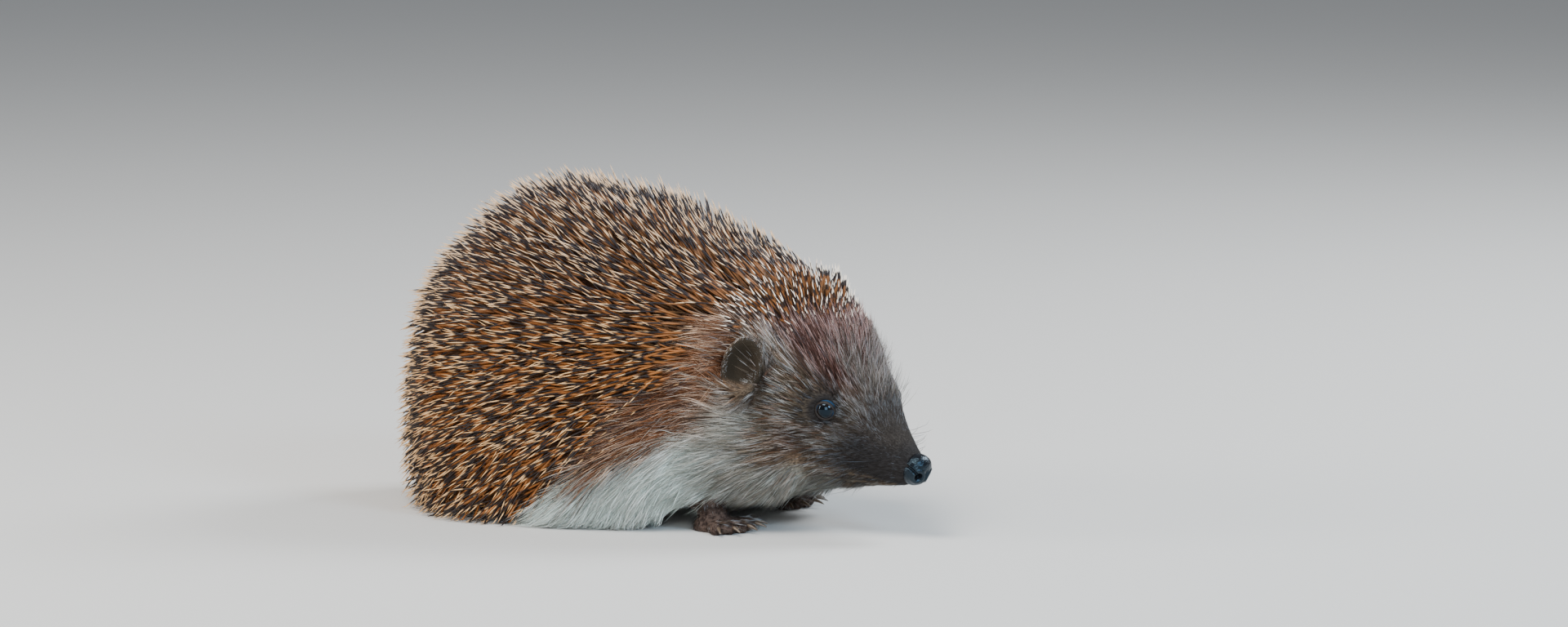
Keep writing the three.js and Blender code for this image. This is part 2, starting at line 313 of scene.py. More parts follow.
def rim_of_ear(points):
    """1 on the rim of either ear and 0 inside it."""
    rims = []
    for name in SIDES:
        own = in_ear(points, name)
        rim = ramp(across_ear(own), 0.84, 1.0) * ramp(own[:, 2], -1, 4)
        rims.append(rim * (np.linalg.norm(own, axis=1) < 12))
    return np.maximum(*rims)


on_face = in_head(rows(hide.data.polygons, "center", 3))[:, 0] > FACE_BACK
edit_all(hide, bpy.ops.mesh.select_all, action="DESELECT")
hide.data.polygons.foreach_set("select", on_face)
bpy.ops.object.mode_set(mode="EDIT")
bpy.ops.mesh.subdivide(number_cuts=1)
bpy.ops.mesh.select_all(action="SELECT")
bpy.ops.mesh.quads_convert_to_tris()
bpy.ops.object.mode_set(mode="OBJECT")
soften(hide, 1)


def above_mouth(head):
    """Millimetres up from the line of the mouth."""
    return head[:, 2] - MOUTH["height"] - MOUTH["drop"] * (head[:, 0] - MOUTH["front"])


def mouth_line(head, half_width):
    """1 along the line of the mouth, falling to 0 beside it and past its corners."""
    along_mouth = ramp(-head[:, 0], -MOUTH["front"], 2 - MOUTH["front"])
    along_mouth *= 1 - ramp(-head[:, 0], -MOUTH["back"] - 4, -MOUTH["back"])
    return along_mouth * np.exp(-((above_mouth(head) / half_width) ** 2))


points = read(hide)
head = in_head(points)
sunk = MOUTH["deep"] * mouth_line(head, MOUTH["half_width"])
points -= read(hide, "normal") * sunk[:, None] * MM
for name, side in SIDES.items():
    facing = np.array([math.cos(EYE_TURN), side * math.sin(EYE_TURN), SOCKET["up"]])
    offset = in_head(points) - EYE_AT[name]
    outward = offset @ facing
    aside = np.linalg.norm(offset - outward[:, None] * facing, axis=1)
    in_socket = fall(aside, SOCKET["flat"], SOCKET["edge"]) * (outward > 0)
    sunk = in_socket * np.maximum(outward - SOCKET["floor"], 0)
    points = from_head(in_head(points) - facing * sunk[:, None])
    own = in_ear(points, name)
    in_cup = fall(across_ear(own), EAR_CUP["flat"], EAR_CUP["edge"])
    in_cup *= (np.abs(own[:, 0]) < 5) * (own[:, 2] > -7)
    opening = ear_axes(side)[:, 0]
    points = from_head(in_head(points) - opening * (EAR_CUP["deep"] * in_cup)[:, None])
points[:, 2] = np.maximum(points[:, 2], FLOOR_GAP)
move_points(hide, points)

edit_all(hide, bpy.ops.uv.smart_project, angle_limit=math.radians(66), island_margin=0.003)
hide.data.uv_layers[0].name = "OFBake"
smooth(hide)

# Where the coat changes, seen on its outside: the edge of the spines and the top of the white
# flank, as heights over places along the body with the head's turn taken out. The jowl is paler
# below a line that is given by its height at the snout and its slope.
SPINE_EDGE = [
    (-26, -9), (-19, 3), (-10, 14), (-1, 22), (12, 30), (19, 39), (27, 47),
    (34, 51), (41, 54), (55, 55.5), (64, 57), (75, 66),
]
JOWL = {"height": -5.0, "drop": 0.12}
WHITE_TOP = [(-26, 0), (-9, 16), (3, 21), (14, 25.5), (24, 28.5), (36, 30), (46, 26), (56, 20), (72, 13)]
TURN_FROM_X = -10
TURN_TO_X = 40


def surface_of(nodes):
    """The outside of these solids, to cast rays at and to measure from."""
    copy = welded_copy("surface", nodes)
    points = [vertex.co.copy() for vertex in copy.data.vertices]
    faces = [tuple(face.vertices) for face in copy.data.polygons]
    bpy.data.objects.remove(copy)
    return BVHTree.FromPolygons(points, faces)


def on_solids(points, nodes):
    """1 for points within a millimetre of these solids, else 0."""
    surface = surface_of(nodes)
    gaps = [surface.find_nearest(Vector(point), MM)[3] for point in points]
    return np.array([gap is not None for gap in gaps], float)


outline = surface_of(BODY_NODES)
CAST_FROM = 24 * MM
LEAST_ROOM = 0.4 * MM
MOST_ROOM = 17 * MM


def room_over(points, normals):
    """How far the coat reaches over the hide at these places, in metres."""
    rooms = np.full(len(points), MM)
    for index, (point, normal) in enumerate(zip(points, normals)):
        way = Vector(normal)
        _, _, _, gap = outline.ray_cast(Vector(point) + way * CAST_FROM, -way, CAST_FROM)
        if gap is not None:
            rooms[index] = CAST_FROM - gap
    return np.clip(rooms, LEAST_ROOM, MOST_ROOM)


def along_body(outer):
    """Millimetres along the body, with the head's turn taken out."""
    x, y, _ = (outer / MM).T
    return x - y * math.sin(-HEAD_YAW) * ramp(x, TURN_FROM_X, TURN_TO_X)


def over_edge(outer, edge):
    """How far these places of the coat's outside lie above an edge, in millimetres."""
    return outer[:, 2] / MM - np.interp(along_body(outer), *zip(*edge))


# The coat's marked colours, with painted shade near the floor in the dark one, and patches of them
# on each side of the head: how strong each is, its middle on the right side in the head's axes, and
# how far it reaches.
MARKINGS = ("white", "rust", "dark", "forehead")
STRONG = 0.95
HEAD_PATCHES = [
    ("rust", STRONG, (-60, -31, -4), 21), ("dark", 0.7, (-30, -18, -3), 9), ("rust", 0.6, (-33, -18, -6), 9),
    ("white", 0.38, (-46, -29, -8), 12), ("dark", 0.75, (-45, -27, 11), 9),
]


def markings_and_shade(outer):
    """The share of each marking's colour, one row for each place; the dark share also holds painted shade.
    """
    head = in_head(outer)
    mirrored = head * [1, -1, 1]
    ahead = along_body(outer)
    height = outer[:, 2] / MM
    white = ramp(-over_edge(outer, WHITE_TOP), -2.5, 3.5) * ramp(ahead, -24, -10)
    white *= 1 - 0.75 * ramp(ahead, 26, 46)
    rust = STRONG * ramp(over_edge(outer, WHITE_TOP), -1, 5) * fall(head[:, 0], -62, -46)
    dark = STRONG * ramp(head[:, 0], -31, -16) * (1 - 0.5 * ramp(-head[:, 2], 6, 9))
    dark *= 1 - 0.12 * ramp(head[:, 2], 2, 7) * ramp(-head[:, 0], 5, 10)
    dark *= 1 - 0.75 * ramp(JOWL["height"] + JOWL["drop"] * head[:, 0] - head[:, 2], 0, 2.5)
    shares = {"white": white, "rust": rust, "dark": dark}
    for places in (head, mirrored):
        from_eye = np.linalg.norm(places - EYE_AT["right"], axis=1)
        shares["dark"] = np.maximum(shares["dark"], STRONG * fall(from_eye, 4.5, 11))
        for name, strength, middle, far in HEAD_PATCHES:
            shares[name] = np.maximum(shares[name], strength * near(places, middle, far))
    white, rust, dark = shares.values()
    dark = np.maximum(dark, STRONG * mouth_line(head, 1.0))
    forehead = ramp(head[:, 2] + 0.32 * (head[:, 0] + 30), 11, 17) * ramp(-head[:, 0], 17, 30)
    rust *= 1 - forehead
    # Within a few millimetres of the floor, coat that is not white is darker: painted shade under the body.
    dark = np.maximum(dark, 0.85 * fall(height, 3, 8) * (1 - white))
    return np.stack([white, rust, dark * (1 - 0.5 * white), forehead], axis=1)


def spiny(outer):
    """1 where spines grow and 0 where fur does."""
    head = in_head(outer)
    mixed = 1.5 + 6 * ramp(along_body(outer), 46, 58)
    return ramp(over_edge(outer, SPINE_EDGE) / mixed, -1, 1) * fall(head[:, 0], -22, -18)


def mark(piece, name, kind, values):
    """Stores one value for each point of a piece, for its material to read."""
    field = {"FLOAT": "value", "FLOAT_COLOR": "color"}[kind]
    layer = piece.data.attributes.new(name, kind, "POINT")
    layer.data.foreach_set(field, np.asarray(values, float).ravel())


class Wire:
    """The output of a node. Arithmetic on it adds Math nodes to its material."""

    def __init__(self, finish, socket):
        self.finish = finish
        self.socket = socket

    def maths(self, operation, *values):
        return self.finish.node("ShaderNodeMath", {"operation": operation}, dict(enumerate(values)))

    def __add__(self, other):
        return self.maths("ADD", self, other)

    def __sub__(self, other):
        return self.maths("SUBTRACT", self, other)

    def __mul__(self, other):
        return self.maths("MULTIPLY", self, other)

    def __rsub__(self, other):
        return self.maths("SUBTRACT", other, self)

    def rise(self, low, high):
        """0 up to low and 1 from high on, with a smooth rise between them."""
        settings = {"interpolation_type": "SMOOTHSTEP"}
        return self.finish.node("ShaderNodeMapRange", settings, {0: self, 1: low, 2: high})


class Finish:
    """A material that is built node by node round one Principled shader."""

    def __init__(self, name, **constants):
        self.material = bpy.data.materials.new(name)
        self.material.use_nodes = True
        self.tree = self.material.node_tree
        self.tree.nodes.clear()
        self.shader = self.tree.nodes.new("ShaderNodeBsdfPrincipled")
        surface = self.tree.nodes.new("ShaderNodeOutputMaterial")
        self.tree.links.new(self.shader.outputs[0], surface.inputs[0])
        for name, value in constants.items():
            socket = name.replace("_", " ").title().replace("Ior", "IOR")
            self.shader.inputs[socket].default_value = value

    def feed(self, socket, value):
        self.connect(self.shader.inputs[socket], value)

    def connect(self, socket, value):
        if isinstance(value, Wire):
            self.tree.links.new(value.socket, socket)
        else:
            socket.default_value = value

    def node(self, kind, settings, values, output=0):
        node = self.tree.nodes.new(kind)
        for key, value in settings.items():
            setattr(node, key, value)
        for socket, value in values.items():
            self.connect(node.inputs[socket], value)
        return Wire(self, node.outputs[output])

    def blend(self, share, first, second):
        """The first colour where the share is 0 and the second where it is 1."""
        return self.node("ShaderNodeMix", {"data_type": "RGBA"}, {0: share, 6: first, 7: second}, 2)

    def stored(self, name, output=2):
        return self.node("ShaderNodeAttribute", {"attribute_name": name}, {}, output)

    def marking(self, name):
        """The stored share of one marking: the first three are a colour and the last its alpha."""
        channel = MARKINGS.index(name)
        if channel == 3:
            return self.stored("markings_and_shade", 3)
        return self.node("ShaderNodeSeparateColor", {}, {0: self.stored("markings_and_shade", 0)}, channel)

    def places(self, stretch=(1, 1, 1), turn=(0, 0, 0)):
        """Object coordinates in metres, turned and stretched for a pattern."""
        place = self.node("ShaderNodeTexCoord", {}, {}, 3)
        return self.node("ShaderNodeMapping", {}, {0: place, 2: turn, 3: stretch})

    def grain(self, places, scale, detail=3, roughness=0.5):
        values = {"Vector": places, "Scale": scale, "Detail": detail, "Roughness": roughness}
        return self.node("ShaderNodeTexNoise", {}, values)

    def bump(self, height, distance, strength=1.0, normal=None):
        values = {"Height": height, "Distance": distance, "Strength": strength}
        if normal is not None:
            values["Normal"] = normal
        return self.node("ShaderNodeBump", {}, values)


def colour(red, green, blue):
    return (red, green, blue, 1)


# For each marking, the colour of a hair at its root, along it and at its tip.
COAT_COLOURS = {
    "face": (colour(0.052, 0.037, 0.026), colour(0.19, 0.146, 0.100), colour(0.66, 0.69, 0.69)),
    "white": (colour(0.39, 0.43, 0.39), colour(0.81, 0.93, 0.885), colour(0.95, 1.0, 0.985)),
    "rust": (colour(0.050, 0.018, 0.007), colour(0.23, 0.080, 0.028), colour(0.60, 0.39, 0.25)),
    "dark": (colour(0.009, 0.008, 0.008), colour(0.020, 0.020, 0.023), colour(0.10, 0.130, 0.175)),
    "forehead": (colour(0.030, 0.014, 0.011), colour(0.098, 0.042, 0.032), colour(0.45, 0.30, 0.285)),
}
# The ear's skin is darker inside, painted shade in its cup, and paler on its rim.
EAR_SKIN_AND_CUP_SHADE = colour(0.024, 0.018, 0.012)
EAR_RIM = colour(0.10, 0.078, 0.055)
PAW_SKIN = colour(0.105, 0.072, 0.058)
# Painted shade in the creases of the paws.
PAW_CREASE_SHADE = colour(0.022, 0.014, 0.012)
ROOT, MIDDLE, TIP = range(3)


def marked_colour(finish, station):
    """The coat's colour at one station of a hair, mixed by the stored marking shares, painted shade among
    them.
    """
    mixed = COAT_COLOURS["face"][station]
    for name in ("rust", "forehead", "dark", "white"):
        mixed = finish.blend(finish.marking(name), mixed, COAT_COLOURS[name][station])
    return mixed


hide_points = read(hide)
hide_normals = read(hide, "normal")
hide_head = in_head(hide_points)
hide_outer = hide_points + hide_normals * room_over(hide_points, hide_normals)[:, None]
hide_marks_and_shade = markings_and_shade(hide_outer)
on_ear = np.zeros(len(hide_points))
for name in SIDES:
    own = in_ear(hide_points, name)
    on_ear = np.maximum(on_ear, fall(out_of_ear(own), 1.06, 1.2) * ramp(own[:, 2], -6, -4))
on_limb = on_solids(hide_points, LIMB_NODES + ["tail"])
hide_spiny = spiny(hide_outer) * (1 - on_ear) * (1 - on_limb)
hide_spiny *= fall(near_pair(hide_head, EAR_AT, 17), 0, 0.3)
# Under the spines the hide takes the dark marking's colour: painted shade between the spines.
SHADE_UNDER_SPINES = 0.6
hide_marks_and_shade[:, 2] = np.maximum(hide_marks_and_shade[:, 2], SHADE_UNDER_SPINES * hide_spiny)
mark(hide, "markings_and_shade", "FLOAT_COLOR", hide_marks_and_shade)
mark(hide, "ear", "FLOAT", on_ear)
mark(hide, "ear_rim", "FLOAT", on_ear * rim_of_ear(hide_points))
mark(hide, "limb", "FLOAT", on_limb)

# Strokes of hair run along the hide, blotches darken it, and creases line the paws, darkened
# with painted shade. The ears' skin is darker inside, painted shade in the cups, and paler on the rim.
skin = Finish("furred_hide", roughness=0.8, specular_ior_level=0.1)
strokes = skin.grain(skin.places(stretch=(0.16, 1, 1), turn=(0, HEAD_PITCH, HEAD_YAW)), 2600, 3)
blotches = skin.grain(skin.places(), 260, 2)
creases = skin.grain(skin.places(stretch=(1, 0.6, 1)), 900, 4, 0.65)
shade = strokes.rise(0.35, 0.68)
hide_colour = skin.blend(shade * 0.75, marked_colour(skin, ROOT), marked_colour(skin, MIDDLE))
hide_colour = skin.blend(blotches.rise(0.45, 0.75) * 0.3, hide_colour, marked_colour(skin, ROOT))
ear_colour = skin.blend(skin.stored("ear_rim"), EAR_SKIN_AND_CUP_SHADE, EAR_RIM)
hide_colour = skin.blend(skin.stored("ear"), hide_colour, ear_colour)
paw_colour = skin.blend(creases.rise(0.35, 0.65), PAW_CREASE_SHADE, PAW_SKIN)
hide_colour = skin.blend(skin.stored("limb"), hide_colour, paw_colour)
skin.feed("Base Color", hide_colour)
creased = skin.bump(creases, 1.2 * MM, skin.stored("limb"))
skin.feed("Normal", skin.bump(strokes, 0.35 * MM, 0.8, creased))
hide.data.materials.append(skin.material)
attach(hide, "root")
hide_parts(*BODY_NODES, *SMALL_NODES)


# ---- Spines ----
# Some thousands of stiff, banded spines stand in the hide from the brow to the rump. Each is a
# hollow hair of horn, brown at the root and up its length, then nearly black, and cream at the
# point. One is modelled and copied; each copy bends back a little along the lie of the coat.
def strand_model(sides, rings):
    """One upright strand, 1 long: rings of (height, radius), then a point."""
    bpy.ops.object.select_all(action="DESELECT")
    (height, radius), *others = rings
    place = (0, 0, height)
    bpy.ops.mesh.primitive_circle_add(vertices=sides, radius=radius, fill_type="NGON", location=place)
    bpy.ops.object.transform_apply(location=True)
    piece = bpy.context.object
    bpy.ops.object.mode_set(mode="EDIT")
    bpy.ops.mesh.select_all(action="SELECT")
    for next_height, next_radius in others:
        bpy.ops.mesh.extrude_region_move(TRANSFORM_OT_translate={"value": (0, 0, next_height - height)})
        bpy.ops.transform.resize(value=(next_radius / radius, next_radius / radius, 1))
        height, radius = next_height, next_radius
    bpy.ops.mesh.extrude_region_move(TRANSFORM_OT_translate={"value": (0, 0, 1 - height)})
    bpy.ops.mesh.merge(type="CENTER")
    bpy.ops.mesh.select_all(action="SELECT")
    bpy.ops.mesh.normals_make_consistent(inside=False)
    bpy.ops.object.mode_set(mode="OBJECT")
    points = read(piece)
    corners = np.array([corner.vertex_index for corner in piece.data.loops])
    starts = np.array([face.loop_start for face in piece.data.polygons])
    angles = np.arctan2(points[:, 1], points[:, 0]) / (2 * math.pi) % 1
    around = angles[corners]
    for face in piece.data.polygons:
        own = slice(face.loop_start, face.loop_start + face.loop_total)
        if around[own].max() - around[own].min() > 0.5:
            around[own] = np.where(around[own] < 0.5, around[own] + 1, around[own])
    around *= 1 - 1 / (sides + 1)
    bpy.data.objects.remove(piece)
    return {"points": points, "corners": corners, "starts": starts, "map": (around, points[corners, 2])}


# Each tuft has one small square of the map: its side, the margin in it, and how far from its
# root's own place the square may lie, in squares, nearest first.
PATCH = 0.003
PATCH_MARGIN = 0.06
MAP_CELLS = int(1 / PATCH)
SEARCH = range(-60, 61)
SPIRAL = np.array([(across, up) for across in SEARCH for up in SEARCH])
SPIRAL = SPIRAL[np.argsort((SPIRAL**2).sum(axis=1), kind="stable")].tolist()


STRAND_GAP = 0.25 * MM


def free_patches(places):
    """For each tuft, a square of the map of its own, at or next to its root's place."""
    taken = set()
    patches = []
    for across, up in np.clip((places / PATCH).astype(int), 0, MAP_CELLS - 1).tolist():
        for step_across, step_up in SPIRAL:
            cell = (across + step_across, up + step_up)
            inside = 0 <= cell[0] < MAP_CELLS and 0 <= cell[1] < MAP_CELLS
            if inside and cell not in taken:
                break
        taken.add(cell)
        patches.append(cell)
    return np.array(patches) * PATCH


def grow(name, strand, roots, first, last, lengths, widths, patches, marks, tones, material):
    """Copies of one strand, each leaving its root along first and ending along last."""
    count = len(roots)
    model = strand["points"]
    middle = roots + first * (lengths / 2)[:, None]
    end = middle + last * (lengths / 2)[:, None]
    rise = model[:, 2][None, :, None]
    r, m, e = roots[:, None], middle[:, None], end[:, None]
    spine = (1 - rise) ** 2 * r + 2 * rise * (1 - rise) * m + rise**2 * e
    ahead = unit((1 - rise) * (m - r) + rise * (e - m))
    sideways = unit(np.cross(first, last) + 1e-6 * np.cross(first, [0.3, 0.5, 0.8]))[:, None]
    upright = np.cross(ahead, sideways)
    wide = (widths / 2)[:, None, None]
    points = spine + wide * (model[:, 0][None, :, None] * sideways + model[:, 1][None, :, None] * upright)
    points = points.reshape(-1, 3)
    points[:, 2] = np.maximum(points[:, 2], STRAND_GAP)
    size = len(model)
    shift = np.arange(count)[:, None]
    mesh = bpy.data.meshes.new(name)
    mesh.vertices.add(count * size)
    mesh.vertices.foreach_set("co", points.ravel())
    mesh.loops.add(count * len(strand["corners"]))
    mesh.loops.foreach_set("vertex_index", (strand["corners"][None] + shift * size).ravel())
    mesh.polygons.add(count * len(strand["starts"]))
    starts = strand["starts"][None] + shift * len(strand["corners"])
    mesh.polygons.foreach_set("loop_start", starts.ravel())
    mesh.update(calc_edges=True)
    own_map = PATCH * (PATCH_MARGIN + (1 - 2 * PATCH_MARGIN) * np.stack(strand["map"], axis=-1))
    patch_map = patches[:, None] + own_map[None]
    layer = mesh.uv_layers.new(name="OFBake")
    layer.data.foreach_set("uv", patch_map.ravel())
    piece = bpy.data.objects.new(name, mesh)
    bpy.context.scene.collection.objects.link(piece)
    smooth(piece)
    mark(piece, "markings_and_shade", "FLOAT_COLOR", np.repeat(marks, size, axis=0))
    mark(piece, "along", "FLOAT", np.tile(model[:, 2], count))
    mark(piece, "tone", "FLOAT", np.repeat(tones, size))
    mesh.materials.append(material)
    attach(piece, "root")
    return piece


hide.data.calc_loop_triangles()
triangles = hide.data.loop_triangles
triangle_points = rows(triangles, "vertices", 3, int)
triangle_corners = rows(triangles, "loops", 3, int)
triangle_areas = rows(triangles, "area", 1)[:, 0]
hide_map = rows(hide.data.uv_layers["OFBake"].data, "uv", 2)


def scatter(density, count, rng, spacing=0.0):
    """Roots on the hide, as thick as the density says at its points, and no nearer than the spacing."""
    weights = triangle_areas * density[triangle_points].mean(axis=1)
    chosen = rng.choice(len(triangles), count, p=weights / weights.sum())
    share = np.sort(rng.random((count, 2)), axis=1)
    shares = np.stack([share[:, 0], share[:, 1] - share[:, 0], 1 - share[:, 1]], axis=1)
    corners = triangle_points[chosen]
    roots = (hide_points[corners] * shares[..., None]).sum(axis=1)
    if spacing:
        kept = spread_out(roots, spacing)
        chosen, shares, corners, roots = chosen[kept], shares[kept], corners[kept], roots[kept]
    normals = unit((hide_normals[corners] * shares[..., None]).sum(axis=1))
    places = (hide_map[triangle_corners[chosen]] * shares[..., None]).sum(axis=1)
    return roots, normals, places


STEPS = (-1, 0, 1)


def spread_out(roots, spacing):
    """The numbers of the roots that are kept so that no two are nearer than the spacing."""
    cells = {}
    kept = []
    for index, root in enumerate((roots / spacing).tolist()):
        x, y, z = (math.floor(value) for value in root)
        nearby = [cells.get((x + i, y + j, z + k), ()) for i in STEPS for j in STEPS for k in STEPS]
        if all(math.dist(root, other) >= 1 for others in nearby for other in others):
            cells.setdefault((x, y, z), []).append(root)
            kept.append(index)
    return kept


def laid_flat(ways, normals):
    """These directions, turned until they lie along the hide."""
    return unit(ways - normals * (ways * normals).sum(axis=1)[:, None])


def lie_of_coat(points, normals):
    """The way the coat lies at each place: a level step over the hide, away from the nose."""
    head = in_head(points)
    x, y, z = (points / MM).T
    breast = ramp(x, -8, 20) * fall(z, 14, 34)
    drop = -0.1 - 0.9 * fall(z, 8, 60) - 0.8 * breast
    body_way = np.stack([-np.ones(len(points)), 0 * x, drop], axis=1)
    cheek_drop = 0.55 * ramp(-head[:, 2], 0, 12) + 0.15
    head_way = np.stack([-np.ones(len(points)), 0 * x, -cheek_drop], axis=1)
    head_way[:, 2] += 0.45 * ramp(head[:, 2], 4, 14)
    head_way = unit(head_way) @ HEAD_AXES.T
    on_head = ramp(head[:, 0], -66, -46)[:, None]
    return laid_flat(unit(body_way) * (1 - on_head) + head_way * on_head, normals)


def leaning(lies, normals, lifts, yaws):
    """Directions that turn by a yaw from the lie, over the hide, and then lift off it."""
    aside = np.cross(normals, lies)
    flat = lies * np.cos(yaws)[:, None] + aside * np.sin(yaws)[:, None]
    return flat * np.cos(lifts)[:, None] + normals * np.sin(lifts)[:, None]


# The spines over the brow, the hood, are shorter, thinner and steeper. Lifts are in radians off
# the hide. In each round a spine whose point falls short of the outline is raised.
SPINE_TRIES = 76000
SPINE_SPACING = 1.33 * MM
SPINE_LENGTH = (19.5 * MM, 23.5 * MM)
SPINE_WIDTH = 0.70 * MM
SPINE_ROOT_DEPTH = 0.8 * MM
SPINE_YAW = math.radians(16)
SPINE_BEND = 0.12
SPINE_RINGS = [(0, 0.5), (0.15, 0.95), (0.55, 1), (0.78, 0.74), (0.9, 0.4)]
HOOD_LIFT = (math.radians(42), math.radians(66))
HOOD_THINNER = 0.22
EDGE_SHORTER = 0.42
LIFT_ROUNDS = 3
STEEPER = 0.16


def above_outline(points):
    """How far these points stand out of the solids, in metres, and less than 0 inside them."""
    gaps = []
    for point in points:
        place, normal, _, gap = outline.find_nearest(Vector(point))
        gaps.append(math.copysign(gap, (Vector(point) - place).dot(normal)))
    return np.array(gaps)


spine_rng = np.random.default_rng(11)
spine_roots, spine_normals, spine_places = scatter(hide_spiny, SPINE_TRIES, spine_rng, SPINE_SPACING)
spine_room = room_over(spine_roots, spine_normals)
spine_outer = spine_roots + spine_normals * spine_room[:, None]
kept = spine_rng.random(len(spine_roots)) < spiny(spine_outer)
spine_roots, spine_normals, spine_places = spine_roots[kept], spine_normals[kept], spine_places[kept]
spine_room, spine_outer = spine_room[kept], spine_outer[kept]
count = len(spine_roots)
spine_lengths = spine_rng.uniform(*SPINE_LENGTH, count) * (0.72 + 0.28 * ramp(spine_room / MM, 4, 10))
spine_reach = spine_rng.uniform(0.76, 1.2, count)
spine_lifts = np.arcsin(np.clip(spine_room / spine_lengths * spine_reach, 0.1, 0.92))
spine_over = over_edge(spine_outer, SPINE_EDGE)
in_hood = ramp(along_body(spine_outer), 26, 52) * fall(spine_over, 4, 52)
in_hood *= ramp(spine_normals[:, 2], 0.35, 0.8)
hood_lifts = np.maximum(spine_lifts, spine_rng.uniform(*HOOD_LIFT, count))
hood_reach = spine_room * spine_rng.uniform(0.9, 1.35, count)
hood_lengths = np.minimum(spine_lengths, hood_reach / np.sin(hood_lifts))
spine_lifts += (hood_lifts - spine_lifts) * in_hood
spine_lengths += (hood_lengths - spine_lengths) * in_hood
spine_lengths *= 1 - EDGE_SHORTER * fall(spine_over, -1, 17) * (1 - in_hood)
spine_widths = SPINE_WIDTH * (1 - HOOD_THINNER * in_hood)
spine_yaws = spine_rng.normal(0, SPINE_YAW, count)
spine_lies = lie_of_coat(spine_roots, spine_normals)
for _ in range(LIFT_ROUNDS):
    spine_first = leaning(spine_lies, spine_normals, spine_lifts * (1 + SPINE_BEND), spine_yaws)
    spine_last = leaning(spine_lies, spine_normals, spine_lifts * (1 - SPINE_BEND), spine_yaws)
    tips = spine_roots + (spine_first + spine_last) * (spine_lengths / 2)[:, None]
    short = (spine_reach - 1) * spine_room - above_outline(tips)
    spine_lifts += ramp(spine_over, 10, 20) * np.clip(short / spine_lengths, 0, STEEPER)
spine_marks = markings_and_shade(spine_outer)
spine_marks[:, 1] = 0.25 + 0.75 * fall(spine_outer[:, 2] / MM, 45, 90)
spine_marks[:, 0] = ramp(along_body(spine_outer), 30, 50) * fall(spine_over, 14, 34)

# Where each band begins along a spine, and its colours high on the back and low on the flank,
# where spines are warmer. On spines the rust marking says how warm, and the white one how pale
# the point is. Bands shift a little from one spine to the next.
BAND_STARTS = {"brown": (0.30, 0.44), "black": (0.57, 0.66), "point": (0.82, 0.89)}
BAND_COLOURS = {
    "brown": (colour(0.215, 0.107, 0.052), colour(0.37, 0.130, 0.030)),
    "black": (colour(0.024, 0.017, 0.019), colour(0.020, 0.012, 0.010)),
    "point": (colour(0.79, 0.56, 0.36), colour(0.76, 0.46, 0.215)),
}
BAND_SHIFT = 0.09
PALE_SHIFT = 0.05
SPINE_ROOT = colour(0.14, 0.070, 0.031)
PALE_POINT = colour(0.98, 0.86, 0.72)
horn = Finish("spine_horn", roughness=0.4, specular_ior_level=0.3)
warm = horn.marking("rust")
pale = horn.marking("white")
shifted = horn.stored("along") + (horn.stored("tone") - 0.5) * BAND_SHIFT
band = {name: horn.blend(warm, *pair) for name, pair in BAND_COLOURS.items()}
band["point"] = horn.blend(pale, band["point"], PALE_POINT)
banded = horn.blend(shifted.rise(*BAND_STARTS["brown"]), SPINE_ROOT, band["brown"])
banded = horn.blend(shifted.rise(*BAND_STARTS["black"]), banded, band["black"])
banded = horn.blend((shifted + pale * PALE_SHIFT).rise(*BAND_STARTS["point"]), banded, band["point"])
horn.feed("Base Color", banded)
spine_model = strand_model(4, SPINE_RINGS)
front_first = np.argsort(-spine_roots[:, 0], kind="stable")
halves = {"spines_fore": front_first[: count // 2], "spines_hind": front_first[count // 2 :]}
for name, own in halves.items():
    grow(
        name, spine_model, spine_roots[own] - spine_normals[own] * SPINE_ROOT_DEPTH, spine_first[own],
        spine_last[own], spine_lengths[own], spine_widths[own],
        free_patches(spine_places[own]), spine_marks[own], spine_rng.random(len(own)),
        horn.material,
    )


# ---- Fur ----
# Coarse hair covers the face, ears, flanks, belly and legs, short and close on the muzzle and long
# and white on the flanks. It grows in tufts of a few hairs whose points draw together.
NEEDLE_RINGS = [(0, 1)]
HAIR_RINGS = [(0, 1), (0.5, 0.8)]
LONG_HAIR_RINGS = [(0, 0.8), (0.3, 1), (0.7, 0.7)]
fur = Finish("fur_hair", roughness=0.5, specular_ior_level=0.18)
along = fur.stored("along")
tone = fur.stored("tone")
fur_colour = fur.blend(along.rise(0.05, 0.45), marked_colour(fur, ROOT), marked_colour(fur, MIDDLE))
fur_colour = fur.blend(along.rise(0.3, 0.75) * tone.rise(0.5, 0.85), fur_colour, marked_colour(fur, TIP))
fur_colour = fur.blend((1 - tone).rise(0.45, 0.95) * 0.75, fur_colour, marked_colour(fur, ROOT))
fur.feed("Base Color", fur_colour)


# The length of a hair on the muzzle, and what the parts behind and round it add, in millimetres.
HAIR = {"muzzle": 2.7, "cheeks": 8.2, "flanks": 13, "forehead": 3, "chin": 2.5}
SHORT_BY_EYE = 0.68
SHORT_BY_EAR = 0.6


def hair_length(outer):
    """The length of the fur's hairs at each place, in millimetres."""
    head = in_head(outer)
    behind = -head[:, 0]
    length = HAIR["muzzle"] + HAIR["cheeks"] * ramp(behind, 5, 46)
    length += HAIR["flanks"] * ramp(behind, 48, 72)
    length += HAIR["forehead"] * ramp(head[:, 2], 10, 20) * ramp(behind, 20, 34)
    length += HAIR["chin"] * ramp(-head[:, 2], 5, 9) * ramp(behind, 6, 14)
    length *= 1 - SHORT_BY_EYE * near_pair(head, EYE_AT, 11)
    return length * (1 - SHORT_BY_EAR * near_pair(head, EAR_AT, 16))


# Some hairs are flecked rust or dark: how strongly, and how many. Neighbouring hairs lean together
# in wisps, whose size is set by the scale of a noise.
RUSTY_HAIR, RUSTY_SHARE = 0.65, 0.2
DARK_HAIR, DARK_SHARE = 0.75, 0.16
WISP_SCALE = 160
WISP_SEED = 5
HAIR_JITTER = 0.045
HAIR_ROOT_DEPTH = 0.5 * MM
STEEPEST = 1.2
noise.seed_set(WISP_SEED)


